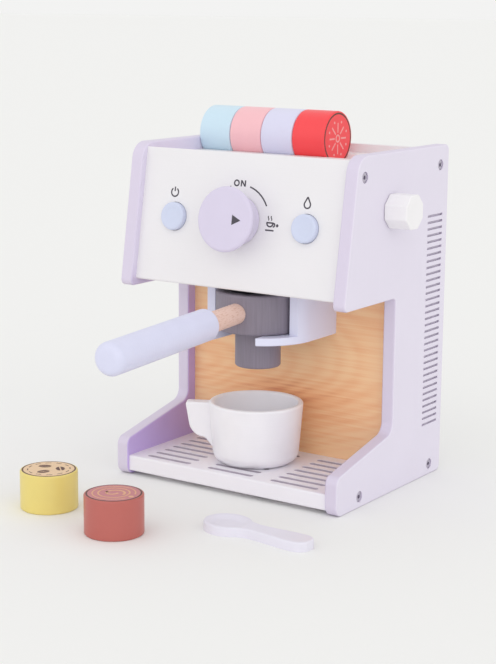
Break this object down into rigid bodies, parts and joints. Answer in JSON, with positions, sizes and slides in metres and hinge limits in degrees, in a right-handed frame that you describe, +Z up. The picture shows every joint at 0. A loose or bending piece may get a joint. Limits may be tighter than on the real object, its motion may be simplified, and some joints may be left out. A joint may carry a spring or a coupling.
{
  "type": "toy coffee maker",
  "caption": "Wooden toy coffee maker with a pull-out filter holder, dial, side knob, push buttons and a capsule tray, shown with its cup, spoon and loose capsules.",
  "frame": {"origin": "middle of the machine's footprint, between its two side boards, on the surface it stands on", "axes": "+Z up; the machine faces -Y; +X is on the right for someone who faces the machine"},
  "size_m": [0.1999, 0.2661, 0.2459],
  "materials": {
    "lavender_boards": "satin paint",
    "white_boards": "satin paint",
    "natural_board": "clear satin",
    "natural_dowels": "clear satin",
    "blue_wood": "satin paint",
    "blue_handle": "satin paint",
    "grey_wood": "satin paint",
    "lavender_knob": "satin paint",
    "white_knob": "satin paint",
    "white_cup": "satin paint",
    "pale_spoon": "satin paint",
    "blue_capsule": "satin paint",
    "pink_capsule": "satin paint",
    "lavender_capsule": "satin paint",
    "red_capsule": "satin paint",
    "yellow_capsule": "satin paint",
    "brown_capsule": "satin paint",
    "screws": "dark zinc"
  },
  "bodies": {
    "machine": {"left_side_board": "lavender_boards", "right_side_board": "lavender_boards", "left_side_screws": "screws", "right_side_screws": "screws", "drip_deck": "white_boards", "rear_board": "white_boards", "front_fascia": "white_boards", "capsule_tray": "white_boards", "head_floor": "white_boards", "column_wall": "natural_board", "brew_drum": "blue_wood"},
    "dial": {"dial_knob": "lavender_knob", "dial_dowel": "natural_dowels", "dial_washer": "natural_dowels"},
    "steam_knob": {"side_knob": "white_knob", "side_knob_dowel": "natural_dowels", "side_knob_washer": "natural_dowels"},
    "left_push_button": {"left_button": "blue_wood"},
    "right_push_button": {"right_button": "blue_wood"},
    "filter_holder": {"filter_basket": "grey_wood", "filter_spout": "grey_wood", "handle_dowel": "natural_dowels", "holder_handle": "blue_handle"},
    "cup_body": {"cup": "white_cup", "cup_ear": "white_cup"},
    "spoon_body": {"spoon": "pale_spoon"},
    "capsule_blue_body": {"capsule_blue": "blue_capsule"},
    "capsule_pink_body": {"capsule_pink": "pink_capsule"},
    "capsule_lavender_body": {"capsule_lavender": "lavender_capsule"},
    "capsule_red_body": {"capsule_red": "red_capsule"},
    "capsule_yellow_body": {"capsule_yellow": "yellow_capsule"},
    "capsule_brown_body": {"capsule_brown": "brown_capsule"}
  },
  "joints": [
    {"name": "dial_turn", "type": "hinge", "parent": "machine", "child": "dial", "pos_m": [0, -0.05151, 0.1792], "axis": [0, -0.9877, 0.1564], "continuous": true},
    {"name": "steam_knob_turn", "type": "hinge", "parent": "machine", "child": "steam_knob", "pos_m": [0.0875, -0.007, 0.188], "axis": [1, 0, 0], "continuous": true},
    {"name": "left_button_press", "type": "slide", "parent": "machine", "child": "left_push_button", "axis": [0, 0.9877, -0.1564], "range_m": [0, 0.003], "stiffness_N_per_m": 150, "springref_m": -0.002},
    {"name": "right_button_press", "type": "slide", "parent": "machine", "child": "right_push_button", "axis": [0, 0.9877, -0.1564], "range_m": [0, 0.003], "stiffness_N_per_m": 150, "springref_m": -0.002},
    {"name": "filter_holder_pull", "type": "slide", "parent": "machine", "child": "filter_holder", "axis": [0, -1, 0], "range_m": [0, 0.1]},
    {"name": "cup_slide", "type": "slide", "parent": "machine", "child": "cup_body", "axis": [0, -1, 0], "range_m": [0, 0.08]},
    {"name": "spoon_lift", "type": "slide", "parent": "machine", "child": "spoon_body", "axis": [0, 0, 1], "range_m": [0, 0.04]},
    {"name": "capsule_blue_lift", "type": "slide", "parent": "machine", "child": "capsule_blue_body", "axis": [0, 0, 1], "range_m": [0, 0.04]},
    {"name": "capsule_pink_lift", "type": "slide", "parent": "machine", "child": "capsule_pink_body", "axis": [0, 0, 1], "range_m": [0, 0.04]},
    {"name": "capsule_lavender_lift", "type": "slide", "parent": "machine", "child": "capsule_lavender_body", "axis": [0, 0, 1], "range_m": [0, 0.04]},
    {"name": "capsule_red_lift", "type": "slide", "parent": "machine", "child": "capsule_red_body", "axis": [0, 0, 1], "range_m": [0, 0.04]},
    {"name": "capsule_yellow_lift", "type": "slide", "parent": "machine", "child": "capsule_yellow_body", "axis": [0, 0, 1], "range_m": [0, 0.04]},
    {"name": "capsule_brown_lift", "type": "slide", "parent": "machine", "child": "capsule_brown_body", "axis": [0, 0, 1], "range_m": [0, 0.04]}
  ]
}
